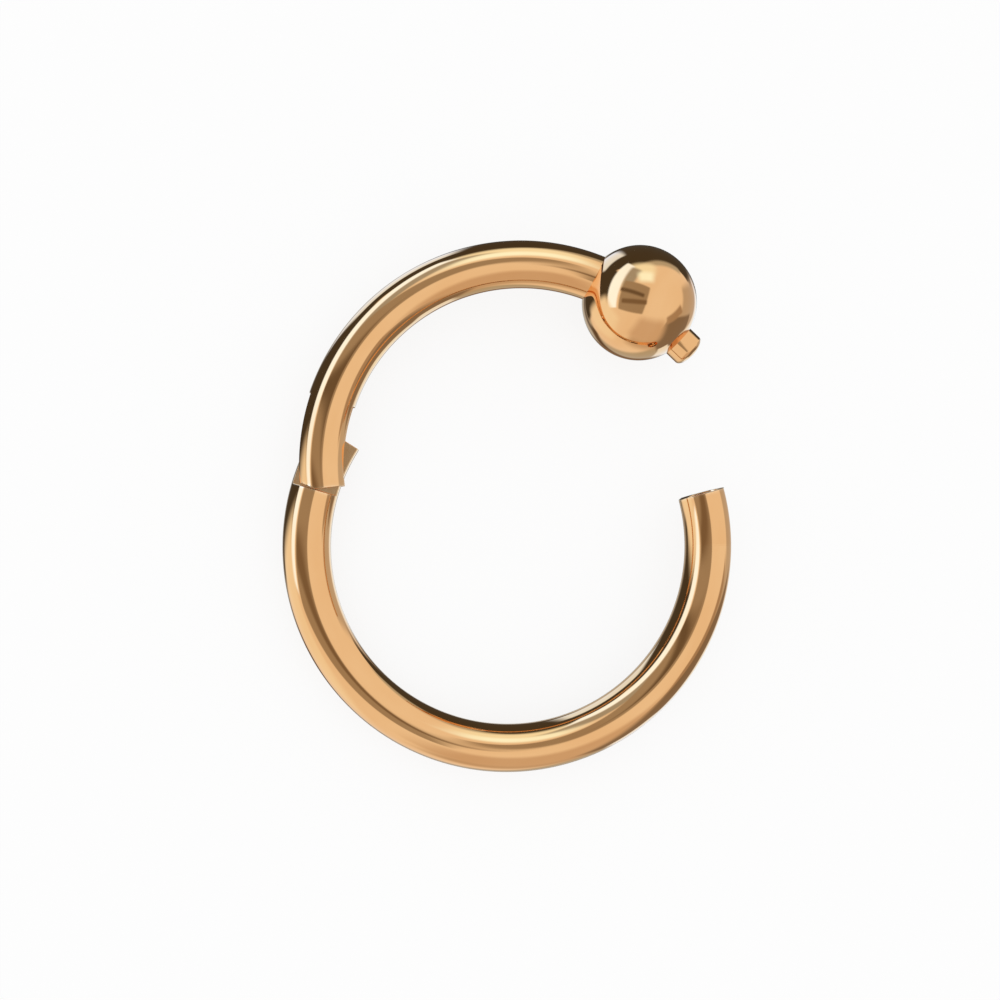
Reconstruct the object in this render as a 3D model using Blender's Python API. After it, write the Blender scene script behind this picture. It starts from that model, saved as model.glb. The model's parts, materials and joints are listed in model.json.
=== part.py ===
"""A hinged ball closure ring, lying on its side with the gate swung open.

The hoop is a round wire bent to most of a circle. One end is thinned to a tongue, which sits in the
slot of the gate and turns with it on a pin. The other end is hollowed for the ball and for the
snap peg behind it. The gate finishes the circle and carries the ball and the peg on its free end.
Every piece is shaped with the ring closed, flat in the XY plane and centred on the hoop's circle.
Then the gate swings open, and the whole ring is laid down as it rests by itself.
"""

import math

import bmesh
import bpy
from mathutils import Matrix, Vector

MM = 0.001

# The wire and the circle
INNER_DIAMETER = 12.0 * MM
WIRE_DIAMETER = 1.6 * MM
CLASP_END_ANGLE = math.radians(15.2)
PIVOT_ANGLE = math.radians(158.15)

# The hinge, with its lengths measured along the wire from the pivot
TONGUE_THICKNESS = 0.55 * MM
TONGUE_REACH = 1.24 * MM
SHOULDER_SETBACK = 0.69 * MM
SLOT_REACH = 2.37 * MM
PIN_DIAMETER = 0.5 * MM
CHEEK_SKIN = 0.2 * MM
PIN_RECESS = 0.07 * MM

# How far the gate swings from closed, as it lies and at its stop
OPEN_ANGLE = math.radians(23.4)
STOP_ANGLE = math.radians(28.4)

# The ball, with the spigot that holds it on the gate
BALL_DIAMETER = 3.9 * MM
CUP_DEPTH = 0.08 * MM
SPIGOT_DIAMETER = 1.0 * MM
SPIGOT_DEPTH = 1.0 * MM
SPIGOT_ROOT = 0.5 * MM

# The snap peg
PEG_DIAMETER = 1.16 * MM
PEG_REACH = 0.62 * MM
PEG_STRAIGHT = 0.35 * MM
PEG_DEPTH = 0.8 * MM

# Clearances
TURNING_CLEARANCE = 0.04 * MM
PIN_CLEARANCE = 0.03 * MM
SEAT_CLEARANCE = 0.03 * MM
FITTED_GAP = 0.02 * MM
SHOULDER_GAP = 0.08 * MM
STOP_GAP = 0.03 * MM

# How finely round forms are faceted
WIRE_SIDES = 24
BEND_STEP = math.radians(4.0)
BALL_SEGMENTS = 32
BORE_SIDES = 20
DOME_STEPS = 5
SWING_STEPS = 6
SHARP_ANGLE = math.radians(30.0)

# Sizes that follow
WIRE_RADIUS = WIRE_DIAMETER / 2
BEND_RADIUS = INNER_DIAMETER / 2 + WIRE_RADIUS
BALL_RADIUS = BALL_DIAMETER / 2
SHOULDER_ANGLE = PIVOT_ANGLE + SHOULDER_SETBACK / BEND_RADIUS
TONGUE_TIP_ANGLE = PIVOT_ANGLE - TONGUE_REACH / BEND_RADIUS
GATE_END_ANGLE = SHOULDER_ANGLE - SHOULDER_GAP / BEND_RADIUS
SLOT_END_ANGLE = PIVOT_ANGLE - SLOT_REACH / BEND_RADIUS
SEAT_CHORD = BALL_RADIUS + SEAT_CLEARANCE - CUP_DEPTH
BALL_ANGLE = CLASP_END_ANGLE + 2 * math.asin(SEAT_CHORD / (2 * BEND_RADIUS))
BALL_ENTRY_ANGLE = BALL_ANGLE + 2 * math.asin(BALL_RADIUS / (2 * BEND_RADIUS))
CUTTER_LENGTH = 2 * (SLOT_REACH + WIRE_DIAMETER)
CUTTER_WIDTH = 2 * WIRE_DIAMETER

ROSE_GOLD = (0.86, 0.55, 0.34, 1.0)
DEEP_GOLD = (0.80, 0.49, 0.29, 1.0)


def clear_scene():
    """Empties the scene of whatever it holds."""
    for obj in list(bpy.data.objects):
        bpy.data.objects.remove(obj, do_unlink=True)


def new_collection(name):
    """A collection of its own, linked to the scene."""
    collection = bpy.data.collections.new(name)
    bpy.context.scene.collection.children.link(collection)
    return collection


def on_wire(angle):
    """The point of the wire's centreline at an angle from +X."""
    return Vector((BEND_RADIUS * math.cos(angle), BEND_RADIUS * math.sin(angle), 0.0))


def along(origin, target):
    """A frame at the origin whose Z axis points at the target."""
    return Matrix.Translation(origin) @ (target - origin).to_track_quat("Z", "Y").to_matrix().to_4x4()


def in_order(bm):
    """The same faces as a new bmesh, listed by where they lie, so that every run gives one result."""
    outlines = []
    for face in bm.faces:
        corners = [vert.co.to_tuple() for vert in face.verts]
        first = corners.index(min(corners))
        outlines.append(corners[first:] + corners[:first])
    bm.free()
    ordered = bmesh.new()
    places = sorted({corner for outline in outlines for corner in outline})
    corners = {place: ordered.verts.new(place) for place in places}
    for outline in sorted(outlines):
        ordered.faces.new([corners[place] for place in outline])
    ordered.normal_update()
    return ordered


def hull_of(points):
    """The convex hull of some points."""
    bm = bmesh.new()
    for point in points:
        bm.verts.new(point)
    bmesh.ops.convex_hull(bm, input=bm.verts[:])
    return in_order(bm)


def new_piece(name, bm, collection):
    """An object made from a finished bmesh."""
    bmesh.ops.recalc_face_normals(bm, faces=bm.faces[:])
    solid = in_order(bm)
    mesh = bpy.data.meshes.new(name)
    solid.to_mesh(mesh)
    solid.free()
    piece = bpy.data.objects.new(name, mesh)
    collection.objects.link(piece)
    return piece


def new_cutter(name, bm, cutters):
    """An object that only shapes others, drawn as wires and never rendered."""
    cutter = new_piece(name, bm, cutters)
    cutter.hide_render = True
    cutter.display_type = "WIRE"
    return cutter


def bent_wire(start, stop):
    """Round wire bent from one angle to another, with square ends."""
    bm = bmesh.new()
    place = Matrix.Rotation(start, 4, "Z") @ Matrix.Translation((BEND_RADIUS, 0.0, 0.0))
    bmesh.ops.create_circle(
        bm,
        cap_ends=True,
        segments=WIRE_SIDES,
        radius=WIRE_RADIUS,
        matrix=place @ Matrix.Rotation(math.pi / 2, 4, "X"),
    )
    end = bmesh.ops.spin(
        bm,
        geom=bm.verts[:] + bm.edges[:] + bm.faces[:],
        axis=(0.0, 0.0, 1.0),
        angle=stop - start,
        steps=math.ceil((stop - start) / BEND_STEP),
    )
    if not any(isinstance(item, bmesh.types.BMFace) for item in end["geom_last"]):
        bmesh.ops.holes_fill(bm, edges=bm.edges[:])
    return bm


def ball(radius):
    """A round ball centred where the ball sits when the ring is closed."""
    bm = bmesh.new()
    bmesh.ops.create_uvsphere(
        bm,
        u_segments=BALL_SEGMENTS,
        v_segments=BALL_SEGMENTS // 2,
        radius=radius,
        matrix=Matrix.Translation(on_wire(BALL_ANGLE)),
    )
    return bm


def rod(frame, radius, low, high):
    """A cylinder along a frame's Z axis, from one height to another."""
    bm = bmesh.new()
    bmesh.ops.create_cone(
        bm,
        cap_ends=True,
        segments=BORE_SIDES,
        radius1=radius,
        radius2=radius,
        depth=high - low,
        matrix=frame @ Matrix.Translation((0.0, 0.0, (low + high) / 2)),
    )
    return bm


def slab(angle, forward, low, high):
    """A block with one face square across the wire at an angle, from one height to another.

    It lies ahead of that face where forward is 1 and behind it where forward is -1.
    """
    middle = (0.0, forward * CUTTER_LENGTH / 2, (low + high) / 2)
    frame = Matrix.Translation(on_wire(angle)) @ Matrix.Rotation(angle, 4, "Z")
    size = Matrix.Diagonal((CUTTER_WIDTH, CUTTER_LENGTH, high - low, 1.0))
    bm = bmesh.new()
    bmesh.ops.create_cube(bm, size=1.0, matrix=frame @ Matrix.Translation(middle) @ size)
    return bm


def turned(frame, profile):
    """A solid turned round a frame's Z axis from (radius, height) points that start and end on it."""
    bm = bmesh.new()
    points = [bm.verts.new((radius, 0.0, height)) for radius, height in profile]
    edges = [bm.edges.new(pair) for pair in zip(points, points[1:])]
    bmesh.ops.spin(
        bm,
        geom=points + edges,
        axis=(0.0, 0.0, 1.0),
        angle=math.tau,
        steps=BORE_SIDES,
        use_merge=True,
    )
    bmesh.ops.remove_doubles(bm, verts=bm.verts[:], dist=FITTED_GAP / 100)
    bm.transform(frame)
    return bm


def about_pivot(angle):
    """A turn of the gate about the hinge's axis."""
    pivot = on_wire(PIVOT_ANGLE)
    return Matrix.Translation(pivot) @ Matrix.Rotation(angle, 4, "Z") @ Matrix.Translation(-pivot)


def boolean(piece, operation, *others):
    """Adds a Boolean with each of the other objects."""
    for other in others:
        modifier = piece.modifiers.new(other.name, "BOOLEAN")
        modifier.operation = operation
        modifier.solver = "EXACT"
        modifier.object = other


def settle_mesh(piece):
    """Makes a piece's modifiers part of its mesh, smooth where it is round and sharp at its edges."""
    graph = bpy.context.evaluated_depsgraph_get()
    rough = piece.data
    mesh = bpy.data.meshes.new_from_object(piece.evaluated_get(graph))
    piece.modifiers.clear()
    piece.data = mesh
    bpy.data.meshes.remove(rough)
    mesh.name = piece.name
    mesh.shade_smooth()
    mesh.set_sharp_from_angle(angle=SHARP_ANGLE)


def ball_frame():
    """The ball's middle, facing the hoop's clasp end along the peg."""
    return along(on_wire(BALL_ANGLE), on_wire(CLASP_END_ANGLE))


def spigot_frame():
    """The ball's middle, facing the gate along the spigot."""
    return along(on_wire(BALL_ANGLE), on_wire(BALL_ENTRY_ANGLE))


def pivot_frame():
    """The hinge's axis, where it crosses the wire's centreline."""
    return Matrix.Translation(on_wire(PIVOT_ANGLE))


def peg_outline(growth, base):
    """The peg's half outline with its domed tip, grown by a clearance, from a base height."""
    radius = PEG_DIAMETER / 2 + growth
    shoulder = BALL_RADIUS + PEG_STRAIGHT
    dome = PEG_REACH - PEG_STRAIGHT + growth
    turns = [math.pi / 2 * step / DOME_STEPS for step in range(DOME_STEPS)]
    tip = [(radius * math.cos(turn), shoulder + dome * math.sin(turn)) for turn in turns]
    return [(0.0, base), (radius, base)] + tip + [(0.0, shoulder + dome)]


def pin_bore(cutters):
    """The hole for the pin: blind in the front cheek, and open through the tongue and the back cheek."""
    top = WIRE_RADIUS - CHEEK_SKIN + FITTED_GAP
    hole = rod(pivot_frame(), PIN_DIAMETER / 2 + PIN_CLEARANCE, -WIRE_DIAMETER, top)
    return new_cutter("pin_bore_cutter", hole, cutters)


def socket_cutter(cutters):
    """The room that the peg sweeps in the hoop's end during the last of the gate's swing."""
    outline = peg_outline(SEAT_CLEARANCE, BALL_RADIUS - PEG_STRAIGHT)
    peg = turned(ball_frame(), outline)
    points = [vert.co.copy() for vert in peg.verts]
    peg.free()
    leave_angle = 2 * PEG_REACH / (on_wire(CLASP_END_ANGLE) - on_wire(PIVOT_ANGLE)).length
    swings = [about_pivot(leave_angle * step / SWING_STEPS) for step in range(SWING_STEPS + 1)]
    path = hull_of([swing @ point for swing in swings for point in points])
    return new_cutter("socket_cutter", path, cutters)


def build_hoop(parts, cutters):
    """The wire hoop, with the tongue on its hinge end and the hollowed seat on its clasp end."""
    hoop = new_piece("hoop", bent_wire(TONGUE_TIP_ANGLE, math.tau + CLASP_END_ANGLE), parts)
    half = TONGUE_THICKNESS / 2
    front = slab(SHOULDER_ANGLE, -1, half, WIRE_DIAMETER)
    back = slab(SHOULDER_ANGLE, -1, -WIRE_DIAMETER, -half)
    cup = ball(BALL_RADIUS + SEAT_CLEARANCE)
    boolean(
        hoop,
        "DIFFERENCE",
        new_cutter("front_cheek_cutter", front, cutters),
        new_cutter("back_cheek_cutter", back, cutters),
        new_cutter("cup_cutter", cup, cutters),
        socket_cutter(cutters),
        bpy.data.objects["pin_bore_cutter"],
    )
    return hoop


def build_gate(parts, cutters):
    """The hinged gate: its two cheeks, the bent wire, and the spigot in the ball."""
    gate = new_piece("gate", bent_wire(BALL_ANGLE, GATE_END_ANGLE), parts)
    half_slot = TONGUE_THICKNESS / 2 + TURNING_CLEARANCE
    slot = slab(SLOT_END_ANGLE, 1, -half_slot, half_slot)
    relief = slab(SHOULDER_ANGLE - STOP_GAP / BEND_RADIUS, 1, -WIRE_DIAMETER, WIRE_DIAMETER)
    relief.transform(about_pivot(-STOP_ANGLE))
    socket = ball(BALL_RADIUS + FITTED_GAP)
    boolean(
        gate,
        "DIFFERENCE",
        new_cutter("slot_cutter", slot, cutters),
        new_cutter("relief_cutter", relief, cutters),
        new_cutter("ball_seat_cutter", socket, cutters),
        bpy.data.objects["pin_bore_cutter"],
    )
    low = BALL_RADIUS - SPIGOT_DEPTH
    spigot = rod(spigot_frame(), SPIGOT_DIAMETER / 2, low, BALL_RADIUS + SPIGOT_ROOT)
    boolean(gate, "UNION", new_cutter("spigot", spigot, cutters))
    return gate


def build_ball(parts, cutters):
    """The ball, drilled for the gate's spigot and for the peg."""
    piece = new_piece("ball", ball(BALL_RADIUS), parts)
    out = BALL_RADIUS + WIRE_RADIUS
    for_spigot = rod(
        spigot_frame(), SPIGOT_DIAMETER / 2 + FITTED_GAP, BALL_RADIUS - SPIGOT_DEPTH - FITTED_GAP, out
    )
    for_peg = rod(ball_frame(), PEG_DIAMETER / 2 + FITTED_GAP, BALL_RADIUS - PEG_DEPTH - FITTED_GAP, out)
    boolean(
        piece,
        "DIFFERENCE",
        new_cutter("spigot_hole_cutter", for_spigot, cutters),
        new_cutter("peg_hole_cutter", for_peg, cutters),
    )
    return piece


def build_snap_peg(parts):
    """The peg that stands out of the ball and snaps into the hoop's end."""
    outline = peg_outline(0.0, BALL_RADIUS - PEG_DEPTH)
    return new_piece("snap_peg", turned(ball_frame(), outline), parts)


def build_hinge_pin(parts):
    """The pin through the tongue, hidden in front and finished level with the back cheek."""
    pin = rod(pivot_frame(), PIN_DIAMETER / 2, PIN_RECESS - WIRE_RADIUS, WIRE_RADIUS - CHEEK_SKIN)
    return new_piece("hinge_pin", pin, parts)


def polished(name, colour, roughness):
    """A polished metal."""
    material = bpy.data.materials.new(name)
    material.use_nodes = True
    shader = material.node_tree.nodes["Principled BSDF"]
    shader.inputs["Base Color"].default_value = colour
    shader.inputs["Metallic"].default_value = 1.0
    shader.inputs["Roughness"].default_value = roughness
    material.diffuse_color = colour
    return material


def dress(piece, colour, roughness):
    """Gives a piece its own polished material."""
    piece.data.materials.clear()
    piece.data.materials.append(polished("polished_" + piece.name, colour, roughness))


def new_empty(name, collection, size):
    """An empty that carries pieces."""
    empty = bpy.data.objects.new(name, None)
    empty.empty_display_size = size
    collection.objects.link(empty)
    return empty


def hang(piece, carrier):
    """Parents a piece to an unturned empty and gives it the empty's origin."""
    piece.data.transform(Matrix.Translation(-carrier.location))
    piece.parent = carrier


def world_points(pieces):
    """The corners of all the pieces, as they lie in the scene."""
    return [piece.matrix_world @ vert.co for piece in pieces for vert in piece.data.vertices]


def centre_of_mass(pieces):
    """The middle of all the metal, from the signed tetrahedra under each face."""
    total = 0.0
    moment = Vector()
    for piece in pieces:
        piece.data.calc_loop_triangles()
        corners = [piece.matrix_world @ vert.co for vert in piece.data.vertices]
        for triangle in piece.data.loop_triangles:
            a, b, c = (corners[index] for index in triangle.vertices)
            volume = a.dot(b.cross(c)) / 6
            total += volume
            moment += volume * (a + b + c) / 4
    return moment / total


def lay_down(ring, pieces):
    """Lays the ring on its back, on the face of its hull that is nearest to its centre of mass.

    The middle of its box goes over the origin, and its lowest point on the ground.
    """
    centre = centre_of_mass(pieces)
    hull = hull_of([(point - centre) / MM for point in world_points(pieces)])
    below = [face for face in hull.faces if face.normal.z < -math.cos(math.radians(45))]
    resting = min(below, key=lambda face: face.normal.dot(face.verts[0].co))
    turn = resting.normal.rotation_difference(Vector((0.0, 0.0, -1.0))).to_matrix().to_4x4()
    hull.free()
    ring.matrix_world = turn
    bpy.context.view_layer.update()
    spans = [(min(values), max(values)) for values in zip(*world_points(pieces))]
    (left, right), (near, far), (bottom, _) = spans
    ring.location = (-(left + right) / 2, -(near + far) / 2, -bottom)
    bpy.context.view_layer.update()


def main():
    """Builds the ring, opens its gate and lays it down."""
    clear_scene()
    parts = new_collection("ball_closure_ring")
    cutters = new_collection("cutters")
    pin_bore(cutters)
    hoop = build_hoop(parts, cutters)
    gate = build_gate(parts, cutters)
    ball_piece = build_ball(parts, cutters)
    peg = build_snap_peg(parts)
    pin = build_hinge_pin(parts)
    bpy.context.view_layer.update()
    pieces = [hoop, gate, ball_piece, peg, pin]
    for piece in pieces:
        settle_mesh(piece)
    dress(hoop, ROSE_GOLD, 0.06)
    dress(gate, ROSE_GOLD, 0.06)
    dress(ball_piece, ROSE_GOLD, 0.05)
    dress(peg, ROSE_GOLD, 0.09)
    dress(pin, DEEP_GOLD, 0.18)
    ring = new_empty("resting_ring", parts, BEND_RADIUS)
    hinge = new_empty("hinge_axis", parts, WIRE_DIAMETER)
    hinge.location = on_wire(PIVOT_ANGLE)
    hinge.parent = ring
    hang(hoop, ring)
    for piece in (gate, ball_piece, peg, pin):
        hang(piece, hinge)
    hinge.rotation_euler.z = OPEN_ANGLE
    bpy.context.view_layer.update()
    lay_down(ring, pieces)


main()
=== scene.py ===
"""Looks of a hinged ball closure ring in polished rose gold, lying with its gate swung open.

Every piece is shaped in millimetres with the ring closed, flat in the XY plane and centred on the
hoop's circle. It is then carried to its place in the frame: the gate's pieces swing open about the
hinge, and the whole ring is laid down as the frame holds it.
"""

import json
import logging
import math
from dataclasses import dataclass, field
from enum import Enum

import bmesh
import bpy
import numpy as np
from mathutils import Matrix, Vector
from mathutils.kdtree import KDTree

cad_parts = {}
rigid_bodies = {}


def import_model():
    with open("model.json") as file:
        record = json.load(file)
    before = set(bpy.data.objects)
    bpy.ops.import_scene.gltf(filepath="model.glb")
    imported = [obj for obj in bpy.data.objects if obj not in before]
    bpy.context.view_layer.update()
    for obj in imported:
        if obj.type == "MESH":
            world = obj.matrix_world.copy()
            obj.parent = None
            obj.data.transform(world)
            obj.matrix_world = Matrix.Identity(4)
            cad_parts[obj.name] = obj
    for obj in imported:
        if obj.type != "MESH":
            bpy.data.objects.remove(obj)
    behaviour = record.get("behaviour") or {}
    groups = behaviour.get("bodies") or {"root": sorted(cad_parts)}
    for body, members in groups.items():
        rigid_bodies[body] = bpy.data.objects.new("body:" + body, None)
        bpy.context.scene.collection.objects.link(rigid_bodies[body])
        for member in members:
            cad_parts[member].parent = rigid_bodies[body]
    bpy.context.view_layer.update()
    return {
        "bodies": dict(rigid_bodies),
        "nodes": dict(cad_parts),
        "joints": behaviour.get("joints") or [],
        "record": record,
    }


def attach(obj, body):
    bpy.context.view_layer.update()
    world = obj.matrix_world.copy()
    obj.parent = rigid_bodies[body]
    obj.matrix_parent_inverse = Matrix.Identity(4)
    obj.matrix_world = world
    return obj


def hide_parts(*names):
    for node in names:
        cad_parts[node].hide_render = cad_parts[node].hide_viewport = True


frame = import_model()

METRES = 0.001
SAME_PLACE = 1e-5
NEXT_TO_NOTHING = 1e-9
LOG = logging.getLogger("ring")


@dataclass(frozen=True)
class RingSizes:
    """The ring's driving sizes, in millimetres and radians."""

    inner_diameter: float = 12.0
    wire_diameter: float = 1.6
    clasp_end: float = math.radians(15.2)
    pivot: float = math.radians(158.15)
    tongue_thickness: float = 0.55
    tongue_reach: float = 1.24
    shoulder_setback: float = 0.69
    slot_reach: float = 2.37
    pin_diameter: float = 0.5
    cheek_skin: float = 0.2
    pin_recess: float = 0.07
    open_angle: float = math.radians(23.4)
    stop_angle: float = math.radians(28.4)
    ball_diameter: float = 3.9
    cup_depth: float = 0.08
    peg_diameter: float = 1.16
    peg_reach: float = 0.62
    peg_straight: float = 0.35
    peg_depth: float = 0.8
    turning_clearance: float = 0.04
    pin_clearance: float = 0.03
    seat_clearance: float = 0.03
    fitted_gap: float = 0.02
    shoulder_gap: float = 0.08
    stop_gap: float = 0.03

    @property
    def wire_radius(self) -> float:
        """Half the wire."""
        return self.wire_diameter / 2

    @property
    def bend_radius(self) -> float:
        """The radius of the wire's centreline."""
        return self.inner_diameter / 2 + self.wire_radius

    @property
    def ball_radius(self) -> float:
        """Half the ball."""
        return self.ball_diameter / 2

    @property
    def shoulder(self) -> float:
        """The angle at which the full wire stops beside the tongue."""
        return self.pivot + self.shoulder_setback / self.bend_radius

    @property
    def tongue_tip(self) -> float:
        """The angle at which the tongue ends."""
        return self.pivot - self.tongue_reach / self.bend_radius

    @property
    def gate_end(self) -> float:
        """The angle at which the gate's cheeks end when it is closed."""
        return self.shoulder - self.shoulder_gap / self.bend_radius

    @property
    def slot_end(self) -> float:
        """The angle at which the gate's slot ends."""
        return self.pivot - self.slot_reach / self.bend_radius

    @property
    def ball_place(self) -> float:
        """The angle of the ball's middle when the gate is closed."""
        chord = self.ball_radius + self.seat_clearance - self.cup_depth
        return self.clasp_end + 2 * math.asin(chord / (2 * self.bend_radius))

    @property
    def ball_middle(self) -> Vector:
        """The ball's middle when the gate is closed."""
        return self.on_wire(self.ball_place)

    @property
    def pin_bore(self) -> float:
        """The radius of the bores that the pin goes through."""
        return self.pin_diameter / 2 + self.pin_clearance

    @property
    def ball_entry(self) -> float:
        """The angle at which the gate's centreline enters the ball."""
        return self.ball_place + 2 * math.asin(self.ball_radius / (2 * self.bend_radius))

    def on_wire(self, angle: float) -> Vector:
        """The point of the wire's centreline at an angle from +X."""
        return Vector((self.bend_radius * math.cos(angle), self.bend_radius * math.sin(angle), 0.0))

    def about_pivot(self, angle: float) -> Matrix:
        """The gate's turn about the hinge by an angle."""
        pivot = self.on_wire(self.pivot)
        return Matrix.Translation(pivot) @ Matrix.Rotation(angle, 4, "Z") @ Matrix.Translation(-pivot)

    def pivot_frame(self) -> Matrix:
        """The hinge's axis where it crosses the centreline."""
        return Matrix.Translation(self.on_wire(self.pivot))

    def peg_frame(self) -> Matrix:
        """The ball's middle, facing the hoop's clasp end."""
        return facing(self.ball_middle, self.on_wire(self.clasp_end))

    def spigot_frame(self) -> Matrix:
        """The ball's middle, facing the gate."""
        return facing(self.ball_middle, self.on_wire(self.ball_entry))


def facing(origin: Vector, target: Vector) -> Matrix:
    """A frame whose Z axis points from one point at another.

    Args:
        origin: The frame's origin.
        target: The point that it faces.

    Returns:
        The frame as a matrix.
    """
    turn = (target - origin).to_track_quat("Z", "Y").to_matrix().to_4x4()
    return Matrix.Translation(origin) @ turn


@dataclass(frozen=True)
class Lie:
    """How the closed, flat ring is carried to its place in the frame."""

    sizes: RingSizes

    def hoop(self) -> Matrix:
        """The hoop's place.

        Returns:
            The place as a matrix, laid down with the hinge where the frame has it.
        """
        joint = frame["joints"][0]
        turn = Vector((0.0, 0.0, 1.0)).rotation_difference(Vector(joint["axis"])).to_matrix().to_4x4()
        pivot = self.sizes.on_wire(self.sizes.pivot) * METRES
        shift = Vector(joint["pos_m"]) - turn @ pivot
        return Matrix.Translation(shift) @ turn @ Matrix.Scale(METRES, 4)

    def gate(self) -> Matrix:
        """The gate's place: swung open, then laid down with the hoop."""
        return self.hoop() @ self.sizes.about_pivot(self.sizes.open_angle)


class BentWireTree:
    """A Geometry Nodes tree that sweeps a round wire along an arc, with square ends."""

    INPUTS = (
        ("Bend Radius", "Float", 6.8),
        ("Wire Radius", "Float", 0.8),
        ("Start Angle", "Float", 0.0),
        ("Sweep Angle", "Float", math.pi),
        ("Section Turn", "Float", 0.0),
        ("Section Sides", "Int", 64),
        ("Steps", "Int", 200),
        ("Finish", "Material", None),
    )

    def __init__(self) -> None:
        """Builds the tree: an arc, a round section turned about itself, and the sweep."""
        self.tree = bpy.data.node_groups.new("bent_wire", "GeometryNodeTree")
        self.identifiers: dict[str, str] = {}
        sockets = self.tree.interface
        sockets.new_socket("Geometry", in_out="OUTPUT", socket_type="NodeSocketGeometry")
        for name, kind, value in self.INPUTS:
            socket = sockets.new_socket(name, in_out="INPUT", socket_type="NodeSocket" + kind)
            if value is not None:
                socket.default_value = value
            self.identifiers[name] = socket.identifier
        add = self.tree.nodes.new
        entry = add("NodeGroupInput")
        leave = add("NodeGroupOutput")
        arc = add("GeometryNodeCurveArc")
        arc.mode = "RADIUS"
        section = add("GeometryNodeCurvePrimitiveCircle")
        section.mode = "RADIUS"
        turn = add("GeometryNodeTransform")
        lay = add("ShaderNodeCombineXYZ")
        sweep = add("GeometryNodeCurveToMesh")
        sweep.inputs["Fill Caps"].default_value = True
        smooth = add("GeometryNodeSetShadeSmooth")
        real = add("GeometryNodeRealizeInstances")
        finish = add("GeometryNodeSetMaterial")
        for name, node, socket in (
            ("Bend Radius", arc, "Radius"),
            ("Start Angle", arc, "Start Angle"),
            ("Sweep Angle", arc, "Sweep Angle"),
            ("Steps", arc, "Resolution"),
            ("Section Sides", section, "Resolution"),
            ("Wire Radius", section, "Radius"),
            ("Section Turn", lay, "Z"),
            ("Finish", finish, "Material"),
        ):
            self.tree.links.new(entry.outputs[name], node.inputs[socket])
        for before, after, socket in (
            (lay, turn, "Rotation"),
            (section, turn, "Geometry"),
            (arc, sweep, "Curve"),
            (turn, sweep, "Profile Curve"),
            (sweep, smooth, "Geometry"),
            (smooth, real, "Geometry"),
            (real, finish, "Geometry"),
            (finish, leave, "Geometry"),
        ):
            self.tree.links.new(before.outputs[0], after.inputs[socket])

    def run(self, name: str, inputs: dict[str, object]) -> bpy.types.Object:
        """Evaluates the tree into a plain mesh object.

        Args:
            name: The new object's name.
            inputs: A value for each named input.

        Returns:
            The object, with the result as its mesh and no modifier.
        """
        holder = bpy.data.objects.new(name, bpy.data.meshes.new(name))
        bpy.context.scene.collection.objects.link(holder)
        modifier = holder.modifiers.new(name, "NODES")
        modifier.node_group = self.tree
        for key, value in inputs.items():
            modifier[self.identifiers[key]] = value
        apply_modifiers(holder)
        return holder


def apply_modifiers(obj: bpy.types.Object) -> None:
    """Makes an object's modifiers part of its mesh.

    Args:
        obj: The object, whose old mesh is removed.
    """
    bpy.context.view_layer.update()
    graph = bpy.context.evaluated_depsgraph_get()
    mesh = bpy.data.meshes.new_from_object(obj.evaluated_get(graph))
    old = obj.data
    obj.modifiers.clear()
    obj.data = mesh
    bpy.data.meshes.remove(old)
    mesh.name = obj.name


def corners_of(mesh: bpy.types.Mesh) -> np.ndarray:
    """Reads a mesh's corners.

    Args:
        mesh: The mesh.

    Returns:
        The corners, one a row.
    """
    flat = np.empty(len(mesh.vertices) * 3, np.float32)
    mesh.vertices.foreach_get("co", flat)
    return flat.reshape(-1, 3).astype(np.float64)


def object_from(bm: bmesh.types.BMesh, name: str) -> bpy.types.Object:
    """Makes an object of a finished bmesh, with its faces pointing out.

    Args:
        bm: The shape, which is freed.
        name: The object's name.

    Returns:
        The object.
    """
    bmesh.ops.recalc_face_normals(bm, faces=bm.faces[:])
    mesh = bpy.data.meshes.new(name)
    bm.to_mesh(mesh)
    bm.free()
    obj = bpy.data.objects.new(name, mesh)
    bpy.context.scene.collection.objects.link(obj)
    return obj


def cut(obj: bpy.types.Object, *others: bpy.types.Object) -> None:
    """Cuts other solids from a solid, and removes them.

    Args:
        obj: The solid that is kept.
        others: The solids that are used up.
    """
    for other in others:
        modifier = obj.modifiers.new(other.name, "BOOLEAN")
        modifier.operation = "DIFFERENCE"
        modifier.solver = "EXACT"
        modifier.object = other
        apply_modifiers(obj)
        bpy.data.objects.remove(other, do_unlink=True)


def rod(
    name: str, place: Matrix, radius: float, low: float, high: float, sides: int = 48
) -> bpy.types.Object:
    """A cylinder along a frame's Z axis.

    Args:
        name: Its name.
        place: The frame.
        radius: Its radius.
        low: The height at which it starts.
        high: The height at which it ends.
        sides: How many sides it has.

    Returns:
        The cylinder.
    """
    bm = bmesh.new()
    bmesh.ops.create_cone(
        bm,
        cap_ends=True,
        segments=sides,
        radius1=radius,
        radius2=radius,
        depth=high - low,
        matrix=place @ Matrix.Translation((0.0, 0.0, (low + high) / 2)),
    )
    return object_from(bm, name)


def round_ball(name: str, place: Matrix, radius: float, segments: int = 128) -> bpy.types.Object:
    """A ball with its poles on a frame's Z axis.

    Args:
        name: Its name.
        place: The frame.
        radius: Its radius.
        segments: How many segments go round it.

    Returns:
        The ball.
    """
    bm = bmesh.new()
    bmesh.ops.create_uvsphere(
        bm, u_segments=segments, v_segments=segments // 2, radius=radius, matrix=place
    )
    return object_from(bm, name)


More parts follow.
